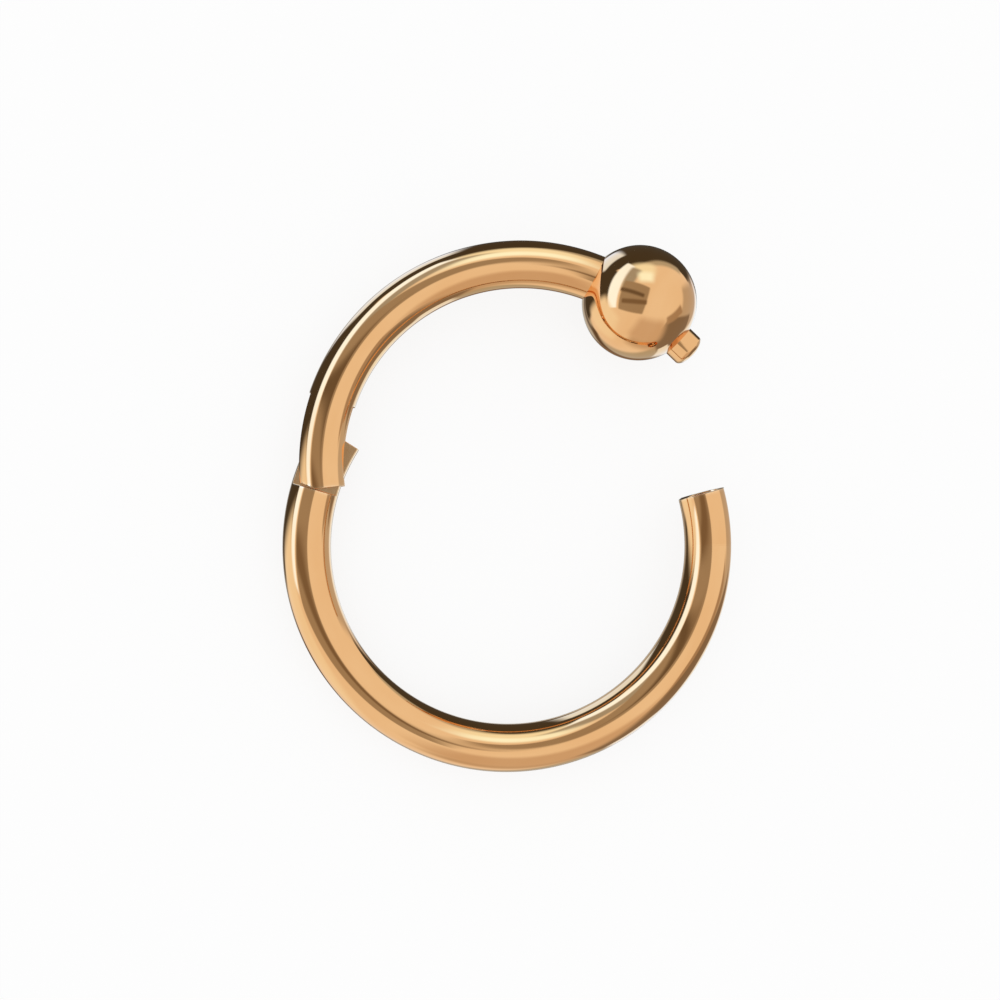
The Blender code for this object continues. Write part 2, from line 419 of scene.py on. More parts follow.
def turned(place: Matrix, profile: list[tuple[float, float]], sides: int = 48) -> bmesh.types.BMesh:
    """A solid turned round a frame's Z axis.

    Args:
        place: The frame.
        profile: (radius, height) points that start and end on the axis.
        sides: How many sides it has.

    Returns:
        The solid.
    """
    bm = bmesh.new()
    points = [bm.verts.new((radius, 0.0, height)) for radius, height in profile]
    edges = [bm.edges.new(pair) for pair in zip(points, points[1:])]
    bmesh.ops.spin(
        bm, geom=points + edges, axis=(0.0, 0.0, 1.0), angle=math.tau, steps=sides, use_merge=True
    )
    bmesh.ops.remove_doubles(bm, verts=bm.verts[:], dist=SAME_PLACE)
    bm.transform(place)
    return bm


def slab(
    name: str, sizes: RingSizes, angle: float, ahead: int, low: float, high: float
) -> bpy.types.Object:
    """A block with one face square across the wire.

    Args:
        name: Its name.
        sizes: The ring's sizes.
        angle: The angle of that face.
        ahead: 1 if the block lies ahead of the face, or -1 if behind.
        low: Its lowest height.
        high: Its highest height.

    Returns:
        The block.
    """
    length = 2 * (sizes.slot_reach + sizes.wire_diameter)
    middle = Matrix.Translation((0.0, ahead * length / 2, (low + high) / 2))
    place = Matrix.Translation(sizes.on_wire(angle)) @ Matrix.Rotation(angle, 4, "Z")
    size = Matrix.Diagonal((2 * sizes.wire_diameter, length, high - low, 1.0))
    bm = bmesh.new()
    bmesh.ops.create_cube(bm, size=1.0, matrix=place @ middle @ size)
    return object_from(bm, name)


@dataclass(frozen=True)
class TrueSurface:
    """An exact surface that facets stand for, everywhere at one distance from its core."""

    radius: float

    def away(self, points: np.ndarray) -> np.ndarray:
        """Each point's offset from the core, which each kind of surface works out."""
        raise NotImplementedError

    def read(self, points: np.ndarray) -> tuple[np.ndarray, np.ndarray]:
        """Distances and directions of points from the surface.

        Args:
            points: An array of points, one a row.

        Returns:
            How far each point lies from the surface, and the surface's direction out there.
        """
        away = self.away(points)
        length = np.linalg.norm(away, axis=1)
        return np.abs(length - self.radius), away / np.maximum(length, NEXT_TO_NOTHING)[:, None]


@dataclass(frozen=True)
class TrueBend(TrueSurface):
    """The surface of the bent wire, round the hoop's circle."""

    bend_radius: float

    def away(self, points: np.ndarray) -> np.ndarray:
        """Each point's offset from the circle.

        Args:
            points: An array of points, one a row.

        Returns:
            The offsets, one a row.
        """
        flat = points.copy()
        flat[:, 2] = 0.0
        reach = np.maximum(np.linalg.norm(flat, axis=1, keepdims=True), NEXT_TO_NOTHING)
        return points - flat / reach * self.bend_radius


@dataclass(frozen=True)
class TrueBall(TrueSurface):
    """The surface of a ball, round its middle."""

    middle: Vector

    def away(self, points: np.ndarray) -> np.ndarray:
        """Each point's offset from the middle."""
        return points - np.array(self.middle)


@dataclass(frozen=True)
class TrueRod(TrueSurface):
    """The surface of a cylinder, round a frame's Z axis."""

    place: Matrix

    def away(self, points: np.ndarray) -> np.ndarray:
        """Each point's offset from the axis.

        Args:
            points: An array of points, one a row.

        Returns:
            The offsets, one a row.
        """
        axis = np.array(self.place.to_3x3() @ Vector((0.0, 0.0, 1.0)))
        away = points - np.array(self.place.translation)
        return away - np.outer(away @ axis, axis)


@dataclass
class EdgeWork:
    """Rounds a solid's edges and gives its facets the directions of the exact surfaces."""

    BEVEL_SLOT = 1
    BEVEL_STEPS = 3
    SHARP = math.radians(35.0)
    SOFT = math.radians(25.0)
    ON_SURFACE = 0.004
    SAME_WAY = 0.97
    RING_CORNERS = 120
    MERGED_SHARE = 0.25
    SLIVER_SHARE = 0.125

    obj: bpy.types.Object
    surfaces: list[TrueSurface]
    width: float
    spare: list[TrueSurface]

    def clean(self) -> None:
        """Merges the slivers that cuts leave, and splits the face that runs round a hole."""
        bm = bmesh.new()
        bm.from_mesh(self.obj.data)
        bmesh.ops.remove_doubles(bm, verts=bm.verts[:], dist=self.width * self.MERGED_SHARE)
        bmesh.ops.dissolve_degenerate(bm, edges=bm.edges[:], dist=self.width * self.SLIVER_SHARE)
        rings = [face for face in bm.faces if len(face.verts) > self.RING_CORNERS]
        bmesh.ops.triangulate(bm, faces=rings)
        bm.to_mesh(self.obj.data)
        bm.free()

    def round(self) -> None:
        """Rounds every sharp edge, apart from the spared ones."""
        self.clean()
        points = corners_of(self.obj.data)
        kept = np.zeros(len(points), bool)
        for surface in self.spare:
            kept |= surface.read(points)[0] < self.ON_SURFACE
        bm = bmesh.new()
        bm.from_mesh(self.obj.data)
        weights = bm.edges.layers.float.new("bevel_weight_edge")
        for edge in bm.edges:
            if len(edge.link_faces) != 2 or all(kept[vert.index] for vert in edge.verts):
                continue
            if edge.calc_face_angle(0.0) > self.SHARP:
                edge[weights] = 1.0
        bm.to_mesh(self.obj.data)
        bm.free()
        while len(self.obj.data.materials) <= self.BEVEL_SLOT:
            self.obj.data.materials.append(None)
        modifier = self.obj.modifiers.new("rounded_edges", "BEVEL")
        modifier.limit_method = "WEIGHT"
        modifier.width = self.width
        modifier.segments = self.BEVEL_STEPS
        modifier.material = self.BEVEL_SLOT
        modifier.use_clamp_overlap = False
        apply_modifiers(self.obj)

    def mark_sharp(self) -> np.ndarray:
        """Marks where the facets' smoothness breaks.

        Returns:
            Whether each face belongs to a rounded edge.
        """
        mesh = self.obj.data
        mesh.shade_smooth()
        rounded = np.empty(len(mesh.polygons), np.int32)
        mesh.polygons.foreach_get("material_index", rounded)
        rounded = rounded == self.BEVEL_SLOT
        bm = bmesh.new()
        bm.from_mesh(mesh)
        for edge in bm.edges:
            faces = edge.link_faces
            turn = len(faces) == 2 and edge.calc_face_angle(0.0) > self.SOFT
            parts = len(faces) == 2 and rounded[faces[0].index] != rounded[faces[1].index]
            edge.smooth = not (turn or parts)
        bm.to_mesh(mesh)
        bm.free()
        return rounded

    def true_directions(self) -> None:
        """Gives each face's corners the direction of the surface that they stand for."""
        rounded = self.mark_sharp()
        mesh = self.obj.data
        points = corners_of(self.obj.data)
        found = [surface.read(points) for surface in self.surfaces]
        corner = np.empty(len(mesh.loops) * 3, np.float32)
        mesh.corner_normals.foreach_get("vector", corner)
        corner = corner.reshape(-1, 3).astype(np.float64)
        at_point: dict[int, list[np.ndarray]] = {}
        for face in mesh.polygons:
            if rounded[face.index]:
                continue
            out = np.array(face.normal)
            ends = list(face.vertices)
            for distance, way in found:
                mean = way[ends].mean(axis=0)
                if distance[ends].max() < self.ON_SURFACE and abs(mean @ out) > self.SAME_WAY:
                    corner[list(face.loop_indices)] = way[ends] * math.copysign(1.0, mean @ out)
                    break
            for loop, end in zip(face.loop_indices, ends):
                at_point.setdefault(end, []).append(corner[loop])
        for face in mesh.polygons:
            if not rounded[face.index]:
                continue
            out = np.array(face.normal)
            for loop, end in zip(face.loop_indices, face.vertices):
                ways = at_point.get(end)
                if ways:
                    corner[loop] = max(ways, key=lambda way: way @ out)
        mesh.normals_split_custom_set([tuple(way) for way in corner])

    def finish(self) -> None:
        """Rounds the edges and sets the directions."""
        self.round()
        self.true_directions()


class Polish(Enum):
    """How far a piece's surface has been worked: roughness, and depth of its polishing lines in mm."""

    MIRROR = (0.03, 0.00008)
    BRIGHT = (0.05, 0.00015)
    GROUND = (0.2, 0.0006)

    @property
    def roughness(self) -> float:
        """The roughness of its cleanest places."""
        return self.value[0]

    @property
    def depth(self) -> float:
        """The depth of its polishing lines."""
        return self.value[1]


@dataclass(frozen=True)
class Pattern:
    """One layer of noise in the polish: its grains to a millimetre each way, and where it is read."""

    grains: tuple[float, float, float]
    detail: float
    read: tuple[float, float]


class NodeBuilder:
    """Adds shader nodes to one tree."""

    COLOURS = (6, 7)
    MIXED = 2

    def __init__(self, tree: bpy.types.NodeTree) -> None:
        """Keeps the tree that the nodes go into."""
        self.tree = tree

    def fill(self, socket: bpy.types.NodeSocket, value: object) -> None:
        """Links or sets one input.

        Args:
            socket: The input.
            value: A socket, a number or a tuple.
        """
        if isinstance(value, bpy.types.NodeSocket):
            self.tree.links.new(value, socket)
        else:
            socket.default_value = value

    def maths(self, operation: str, *values: object) -> bpy.types.NodeSocket:
        """Adds one step of arithmetic.

        Args:
            operation: The step's operation.
            values: A socket or a number for each of its inputs.

        Returns:
            The result.
        """
        node = self.tree.nodes.new("ShaderNodeMath")
        node.operation = operation
        for socket, value in zip(node.inputs, values):
            self.fill(socket, value)
        return node.outputs[0]

    def spread(
        self,
        value: bpy.types.NodeSocket,
        source: tuple[float, float] = (0.0, 1.0),
        target: tuple[float, float] = (0.0, 1.0),
        easing: str = "LINEAR",
    ) -> bpy.types.NodeSocket:
        """Maps one range to another, held at its ends.

        Args:
            value: What is mapped.
            source: The range that it is read in.
            target: The range that it is given.
            easing: LINEAR, or SMOOTHSTEP where it eases at both ends.

        Returns:
            The mapped value.
        """
        node = self.tree.nodes.new("ShaderNodeMapRange")
        node.interpolation_type = easing
        self.fill(node.inputs["Value"], value)
        for name, number in zip(("From Min", "From Max", "To Min", "To Max"), source + target):
            node.inputs[name].default_value = number
        return node.outputs["Result"]

    def mix(self, factor: object, low: object, high: object) -> bpy.types.NodeSocket:
        """Mixes two colours.

        Args:
            factor: The share of the second one.
            low: The first colour.
            high: The second colour.

        Returns:
            The mixed colour.
        """
        node = self.tree.nodes.new("ShaderNodeMix")
        node.data_type = "RGBA"
        self.fill(node.inputs[0], factor)
        for index, colour in zip(self.COLOURS, (low, high)):
            self.fill(node.inputs[index], colour)
        return node.outputs[self.MIXED]


class FinishBuilder(NodeBuilder):
    """Adds nodes to one new material."""

    def __init__(self, name: str) -> None:
        """Starts a material with its shader.

        Args:
            name: The material's name.
        """
        self.material = bpy.data.materials.new(name)
        self.material.use_nodes = True
        super().__init__(self.material.node_tree)
        self.shader = self.tree.nodes["Principled BSDF"]

    def attribute(self, name: str, output: str) -> bpy.types.NodeSocket:
        """Reads one of the mesh's own attributes.

        Args:
            name: The attribute's name.
            output: Which output of it is wanted.

        Returns:
            The output socket.
        """
        node = self.tree.nodes.new("ShaderNodeAttribute")
        node.attribute_name = name
        return node.outputs[output]

    def noise(self, place: bpy.types.NodeSocket, pattern: Pattern) -> bpy.types.NodeSocket:
        """Adds one layer of noise.

        Args:
            place: Where it is read.
            pattern: The layer.

        Returns:
            The noise, from 0 to 1.
        """
        scaled = self.tree.nodes.new("ShaderNodeVectorMath")
        scaled.operation = "MULTIPLY"
        self.fill(scaled.inputs[0], place)
        self.fill(scaled.inputs[1], pattern.grains)
        node = self.tree.nodes.new("ShaderNodeTexNoise")
        node.inputs["Scale"].default_value = 1.0
        node.inputs["Detail"].default_value = pattern.detail
        self.fill(node.inputs["Vector"], scaled.outputs[0])
        return node.outputs["Fac"]

    def bump(self, height: bpy.types.NodeSocket, depth: float) -> None:
        """Lets a height tilt the surface.

        Args:
            height: The height, from 0 to 1.
            depth: What 1 stands for, in millimetres.
        """
        node = self.tree.nodes.new("ShaderNodeBump")
        node.inputs["Strength"].default_value = 1.0
        node.inputs["Distance"].default_value = depth * METRES
        self.fill(node.inputs["Height"], height)
        self.fill(self.shader.inputs["Normal"], node.outputs["Normal"])


@dataclass(frozen=True)
class RoseGold:
    """Polished rose gold with fine polishing lines, faint smears and rubbed edges."""

    name: str
    polish: Polish = Polish.MIRROR
    colour: tuple[float, float, float] = (0.86, 0.475, 0.21)
    deep: tuple[float, float, float] = (0.83, 0.44, 0.185)
    rubbed: tuple[float, float, float] = (0.92, 0.6, 0.34)
    lines: Pattern = Pattern((0.5, 34.0, 34.0), 3.0, (0.35, 0.7))
    smears: Pattern = Pattern((0.5, 0.9, 0.9), 4.0, (0.42, 0.72))
    grain: Pattern = Pattern((7.0, 9.0, 9.0), 2.0, (0.3, 0.7))
    tones: Pattern = Pattern((0.35, 1.1, 1.1), 3.0, (0.35, 0.65))
    rubbed_share: tuple[float, float] = (0.35, 0.9)
    smear_roughness: float = 0.03
    line_roughness: float = 0.02
    rubbed_roughness: float = 0.12

    def build(self) -> bpy.types.Material:
        """Builds the finish.

        Returns:
            The material.
        """
        nodes = FinishBuilder(self.name)
        place = nodes.attribute("worked_place", "Vector")
        wear = nodes.attribute("edge_wear", "Fac")
        lines = nodes.noise(place, self.lines)
        smear = nodes.spread(nodes.noise(place, self.smears), self.smears.read)
        grain = nodes.noise(place, self.grain)
        tone = nodes.spread(nodes.noise(place, self.tones), self.tones.read)
        metal = nodes.mix(tone, (*self.deep, 1.0), (*self.colour, 1.0))
        patchy = nodes.spread(grain, self.grain.read, self.rubbed_share)
        rubbed = nodes.maths("MULTIPLY", wear, patchy)
        nodes.fill(nodes.shader.inputs["Base Color"], nodes.mix(rubbed, metal, (*self.rubbed, 1.0)))
        clean = self.polish.roughness
        rough = nodes.spread(smear, target=(clean, clean + self.smear_roughness))
        scored = nodes.spread(lines, self.lines.read, (0.0, self.line_roughness))
        rough = nodes.maths("ADD", rough, scored)
        rough = nodes.maths("ADD", rough, nodes.maths("MULTIPLY", rubbed, self.rubbed_roughness))
        nodes.fill(nodes.shader.inputs["Roughness"], rough)
        nodes.shader.inputs["Metallic"].default_value = 1.0
        nodes.bump(lines, self.polish.depth)
        return nodes.material


@dataclass
class Piece:
    """One solid of the ring, made ready for the frame."""

    WEAR_REACH = 2

    sizes: RingSizes
    lie: Matrix
    node: str
    body: str
    slot: str
    finish: RoseGold
    edge: float = 0.02
    obj: bpy.types.Object = field(default=None, init=False)

    def place(self) -> None:
        """Carries the finished mesh to its place in the frame."""
        self.obj.data.transform(self.lie)
        self.obj.data.update()

    def along(self, points: np.ndarray) -> np.ndarray:
        """Where each point lies to the hand that polishes the piece: along its strokes and across them.

        Args:
            points: The mesh's corners, one a row.

        Returns:
            For each corner, the length along the wire and its two distances from the centreline.
        """
        girth = np.hypot(points[:, 0], points[:, 1])
        turn = np.arctan2(points[:, 1], -points[:, 0])
        bend = self.sizes.bend_radius
        return np.stack([turn * bend, girth - bend, points[:, 2]], axis=1)

    def mark_surface(self) -> None:
        """Stores the polishing directions, and how close each corner lies to a rubbed edge."""
        mesh = self.obj.data
        points = corners_of(mesh)
        worked = mesh.attributes.new("worked_place", "FLOAT_VECTOR", "POINT")
        worked.data.foreach_set("vector", self.along(points).astype(np.float32).ravel())
        wear = np.zeros(len(points), np.float32)
        rounded = [face for face in mesh.polygons if face.material_index == EdgeWork.BEVEL_SLOT]
        ends = {end for face in rounded for end in face.vertices}
        if ends:
            tree = KDTree(len(ends))
            for index in ends:
                tree.insert(mesh.vertices[index].co, index)
            tree.balance()
            gaps = np.array([tree.find(vert.co)[2] for vert in mesh.vertices])
            wear = np.exp(-((gaps / (self.WEAR_REACH * self.edge)) ** 2)).astype(np.float32)
        mesh.attributes.new("edge_wear", "FLOAT", "POINT").data.foreach_set("value", wear)

    def dress(self) -> None:
        """Gives the piece its finish."""
        self.mark_surface()
        material = self.finish.build()
        self.obj.data.materials.clear()
        self.obj.data.materials.append(material)
        for face in self.obj.data.polygons:
            face.material_index = 0

    def hand_over(self) -> None:
        """Lets the piece ride on its body in place of its node."""
        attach(self.obj, self.body)
        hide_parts(self.node)
        LOG.info("%s: %d faces", self.obj.name, len(self.obj.data.polygons))


@dataclass
class WirePiece(Piece):
    """A piece that is cut from a length of the bent wire."""

    steps: int = 420
    sides: int = 96

    def sweep(self, wire: BentWireTree, name: str, start: float, length: float, twist: float) -> None:
        """Sweeps the length of wire.

        Args:
            wire: The tree that sweeps a bent wire.
            name: The finished piece's name.
            start: The angle at which the wire starts.
            length: The angle that it goes through.
            twist: How far its facets are turned round the centreline.
        """
        self.obj = wire.run(
            name,
            {
                "Bend Radius": self.sizes.bend_radius,
                "Wire Radius": self.sizes.wire_radius,
                "Start Angle": start,
                "Sweep Angle": length,
                "Section Turn": twist,
                "Section Sides": self.sides,
                "Steps": self.steps,
            },
        )


@dataclass
class Hoop(WirePiece):
    """The main wire, with its tongue and its hollowed clasp end."""

    def build(self, wire: BentWireTree) -> None:
        """Sweeps the wire, frees the tongue and hollows the clasp end.

        Args:
            wire: The tree that sweeps a bent wire.
        """
        sizes = self.sizes
        length = math.tau + sizes.clasp_end - sizes.tongue_tip
        self.sweep(wire, "polished_hoop", sizes.tongue_tip, length, math.pi / self.sides)
        half = sizes.tongue_thickness / 2
        far = sizes.wire_diameter
        cup_radius = sizes.ball_radius + sizes.seat_clearance
        cut(
            self.obj,
            slab("front_room", sizes, sizes.shoulder, -1, half, far),
            slab("back_room", sizes, sizes.shoulder, -1, -far, -half),
            round_ball("cup_room", Matrix.Translation(sizes.ball_middle), cup_radius),
            self.socket_room(),
            rod("pin_room", sizes.pivot_frame(), sizes.pin_bore, -far, far),
        )
        bend = TrueBend(sizes.wire_radius, sizes.bend_radius)
        cup = TrueBall(cup_radius, sizes.ball_middle)
        bore = TrueRod(sizes.pin_bore, sizes.pivot_frame())
        EdgeWork(self.obj, [bend, cup, bore], self.edge, [bore]).finish()

    def socket_room(self) -> bpy.types.Object:
        """The room that the peg sweeps in the clasp end as the gate closes.

        Returns:
            The room as a solid.
        """
        sizes = self.sizes
        outline = peg_outline(sizes, sizes.seat_clearance, sizes.ball_radius - sizes.peg_straight)
        peg = turned(sizes.peg_frame(), outline)
        points = [vert.co.copy() for vert in peg.verts]
        peg.free()
        reach = (sizes.on_wire(sizes.clasp_end) - sizes.on_wire(sizes.pivot)).length
        full_swing = 2 * sizes.peg_reach / reach
        swing_steps = 12
        bm = bmesh.new()
        for step in range(swing_steps + 1):
            swing = sizes.about_pivot(full_swing * step / swing_steps)
            for point in points:
                bm.verts.new(swing @ point)
        bmesh.ops.convex_hull(bm, input=bm.verts[:])
        loose = [vert for vert in bm.verts if not vert.link_faces]
        bmesh.ops.delete(bm, geom=loose, context="VERTS")
        return object_from(bm, "socket_room")


def peg_outline(sizes: RingSizes, growth: float, base: float) -> list[tuple[float, float]]:
    """The peg's half outline with its domed tip.

    Args:
        sizes: The ring's sizes.
        growth: The clearance that it is grown by.
        base: The height at which it starts.

    Returns:
        (radius, height) points along its frame's Z axis.
    """
    dome_steps = 10
    radius = sizes.peg_diameter / 2 + growth
    shoulder = sizes.ball_radius + sizes.peg_straight
    dome = sizes.peg_reach - sizes.peg_straight + growth
    turns = [math.pi / 2 * step / dome_steps for step in range(dome_steps)]
    tip = [(radius * math.cos(turn), shoulder + dome * math.sin(turn)) for turn in turns]
    return [(0.0, base), (radius, base)] + tip + [(0.0, shoulder + dome)]


@dataclass
class Gate(WirePiece):
    """The hinged stretch of wire, with its two cheeks, pressed onto the ball."""

    steps: int = 230
    overlap: float = 0.015

    def build(self, wire: BentWireTree) -> None:
        """Sweeps the wire, slots its hinge end and seats its free end on the ball.

        Args:
            wire: The tree that sweeps a bent wire.
        """
        sizes = self.sizes
        length = sizes.gate_end - sizes.ball_place
        self.sweep(wire, "polished_gate", sizes.ball_place, length, 0.0)
        far = sizes.wire_diameter
        half_slot = sizes.tongue_thickness / 2 + sizes.turning_clearance
        stop = sizes.shoulder - sizes.stop_gap / sizes.bend_radius
        relief = slab("relief_room", sizes, stop, 1, -far, far)
        relief.data.transform(sizes.about_pivot(-sizes.stop_angle))
        bore_top = sizes.wire_radius - sizes.cheek_skin + sizes.fitted_gap
        seat_radius = sizes.ball_radius - self.overlap
        cut(
            self.obj,
            slab("slot_room", sizes, sizes.slot_end, 1, -half_slot, half_slot),
            relief,
            round_ball("seat_room", Matrix.Translation(sizes.ball_middle), seat_radius),
            rod("pin_room", sizes.pivot_frame(), sizes.pin_bore, -far, bore_top),
        )
        bend = TrueBend(sizes.wire_radius, sizes.bend_radius)
        seat = TrueBall(seat_radius, sizes.ball_middle)
        bore = TrueRod(sizes.pin_bore, sizes.pivot_frame())
        EdgeWork(self.obj, [bend, seat, bore], self.edge, [bore, seat]).finish()


@dataclass
class Ball(Piece):
    """The closing ball."""

    ROUND_SHARE = 0.02

    overlap: float = 0.01

    def build(self) -> None:
        """Turns the ball and drills it for the peg."""
        sizes = self.sizes
        self.obj = round_ball("polished_ball", sizes.peg_frame(), sizes.ball_radius)
        radius = sizes.peg_diameter / 2 - self.overlap
        low = sizes.ball_radius - sizes.peg_depth + self.overlap
        hole = rod("peg_hole", sizes.peg_frame(), radius, low, sizes.ball_diameter)
        cut(self.obj, hole)
        surface = TrueBall(sizes.ball_radius, sizes.ball_middle)
        bore = TrueRod(radius, sizes.peg_frame())
        EdgeWork(self.obj, [surface, bore], self.edge, [bore, surface]).finish()

    def along(self, points: np.ndarray) -> np.ndarray:
        """The ball is polished on its spigot, so the strokes run round that axis.

        Args:
            points: The mesh's corners, one a row.

        Returns:
            For each corner, its place with the axis as the direction across the strokes.
        """
        frame = np.array(self.sizes.spigot_frame().inverted())
        local = points @ frame[:3, :3].T + frame[:3, 3]
        return np.stack([local[:, 0], local[:, 2], self.ROUND_SHARE * local[:, 1]], axis=1)


@dataclass
class SnapPeg(Piece):
    """The domed peg that stands out of the ball."""

    SHARP = math.radians(40.0)

    def build(self) -> None:
        """Turns the peg."""
        sizes = self.sizes
        outline = peg_outline(sizes, 0.0, sizes.ball_radius - sizes.peg_depth)
        self.obj = object_from(turned(sizes.peg_frame(), outline, sides=64), "polished_peg")
        self.obj.data.shade_smooth()
        self.obj.data.set_sharp_from_angle(angle=self.SHARP)


@dataclass
class HingePin(Piece):
    """The pin through the tongue."""

    def build(self) -> None:
        """Turns the pin, with its open end level with the back cheek."""
        sizes = self.sizes
        low = sizes.pin_recess - sizes.wire_radius
        high = sizes.wire_radius - sizes.cheek_skin
        radius = sizes.pin_diameter / 2
        self.obj = rod("ground_pin", sizes.pivot_frame(), radius, low, high)
        EdgeWork(self.obj, [TrueRod(radius, sizes.pivot_frame())], self.edge, []).finish()


@dataclass(frozen=True)
class Viewpoint:
    """The photograph's camera, in millimetres and degrees from the flat ring, clipped in metres."""

    distance: float = 46.75
    pitch: float = -0.6245
    yaw: float = 5.1967
    shift_x: float = 0.3386
    shift_y: float = -1.5443
    lens: float = 49.9
    sensor: float = 36.0
    nearest: float = 0.001
    farthest: float = 10.0

    def stand(self, lie: Matrix) -> Matrix:
        """Where the camera stands, looking down its own Z axis at the ring.

        Args:
            lie: The hoop's place in the frame.

        Returns:
            The camera's place in the frame, in the hoop's scale.
        """
        pitch = Matrix.Rotation(math.radians(self.pitch), 4, "X")
        yaw = Matrix.Rotation(math.radians(self.yaw), 4, "Y")
        seen = Matrix.Translation((self.shift_x, self.shift_y, 0.0)) @ pitch @ yaw
        return lie @ seen.inverted() @ Matrix.Translation((0.0, 0.0, self.distance))

    def build(self, lie: Matrix) -> None:
        """Places the camera over the ring and makes it the scene's.

        Args:
            lie: The hoop's place in the frame.
        """
        position, rotation, _ = self.stand(lie).decompose()
        data = bpy.data.cameras.new("photo_camera")
        data.lens = self.lens
        data.sensor_width = self.sensor
        data.clip_start = self.nearest
        data.clip_end = self.farthest
        camera = bpy.data.objects.new("photo_camera", data)
        camera.matrix_world = Matrix.LocRotScale(position, rotation, None)
        bpy.context.scene.collection.objects.link(camera)
        bpy.context.scene.camera = camera


@dataclass(frozen=True)
class Card:
    """A soft card of light or shade round the ring.

    Its place is an angle away from the way back to the photograph's camera, and an angle round
    that way. Its roll, its half sizes and the softness of its edges are angles too, all in degrees.
    """

    name: str
    away: float
    round: float
    roll: float
    half_width: float
    half_height: float
    softness: float
    colour: tuple[float, float, float]

    def directions(self, stand: Matrix) -> tuple[Vector, Vector, Vector]:
        """The card's own directions in the room.

        Args:
            stand: The turn from the photograph's camera to the room.

        Returns:
            The direction towards it, and the directions of its width and its height.
        """
        away, around = math.radians(self.away), math.radians(self.round)
        turn = math.radians(self.roll) - around
        facing = Vector(
            (math.sin(away) * math.cos(around), math.sin(away) * math.sin(around), math.cos(away))
        )
        outward_way = Vector(
            (math.cos(around) * math.cos(away), math.sin(around) * math.cos(away), -math.sin(away))
        )
        round_way = Vector((-math.sin(around), math.cos(around), 0.0))
        across = outward_way * math.cos(turn) + round_way * math.sin(turn)
        upward = round_way * math.cos(turn) - outward_way * math.sin(turn)
        return stand @ facing, stand @ across, stand @ upward


class CardMask(NodeBuilder):
    """A node group that tells how much of a direction a soft rectangular card covers."""

    LEAST_AHEAD = 0.08
    FRONT_EASE = 0.1

    def __init__(self) -> None:
        """Builds the group."""
        super().__init__(bpy.data.node_groups.new("soft_card", "ShaderNodeTree"))
        sockets = self.tree.interface
        for name in ("Direction", "Facing", "Across", "Upward"):
            sockets.new_socket(name, in_out="INPUT", socket_type="NodeSocketVector")
        for name in ("Half Width", "Half Height", "Softness"):
            sockets.new_socket(name, in_out="INPUT", socket_type="NodeSocketFloat")
        sockets.new_socket("Mask", in_out="OUTPUT", socket_type="NodeSocketFloat")
        self.entry = self.tree.nodes.new("NodeGroupInput").outputs
        leave = self.tree.nodes.new("NodeGroupOutput")
        ahead = self.dot("Facing")
        safe = self.maths("MAXIMUM", ahead, self.LEAST_AHEAD)
        width = self.side("Across", "Half Width", safe)
        height = self.side("Upward", "Half Height", safe)
        front = self.spread(self.maths("DIVIDE", ahead, self.FRONT_EASE), easing="SMOOTHSTEP")
        covered = self.maths("MULTIPLY", self.maths("MULTIPLY", width, height), front)
        self.tree.links.new(covered, leave.inputs["Mask"])

    def dot(self, name: str) -> bpy.types.NodeSocket:
        """How far the direction goes along one of the card's own.

        Args:
            name: The input that holds the card's direction.

        Returns:
            The socket with the result.
        """
        node = self.tree.nodes.new("ShaderNodeVectorMath")
        node.operation = "DOT_PRODUCT"
        self.tree.links.new(self.entry["Direction"], node.inputs[0])
        self.tree.links.new(self.entry[name], node.inputs[1])
        return node.outputs["Value"]

    def side(self, way: str, half: str, safe: bpy.types.NodeSocket) -> bpy.types.NodeSocket:
        """How far inside two opposite edges of the card the direction falls.

        Args:
            way: The input with the direction across those edges.
            half: The input with half the distance between them.
            safe: The distance ahead, kept above nothing.

        Returns:
            The socket with the eased result.
        """
        place = self.maths("ABSOLUTE", self.maths("DIVIDE", self.dot(way), safe))
        inside = self.maths("SUBTRACT", self.entry[half], place)
        both_edges = self.maths("MULTIPLY", self.entry["Softness"], 2.0)
        share = self.maths("ADD", self.maths("DIVIDE", inside, both_edges), 0.5)
        return self.spread(share, easing="SMOOTHSTEP")


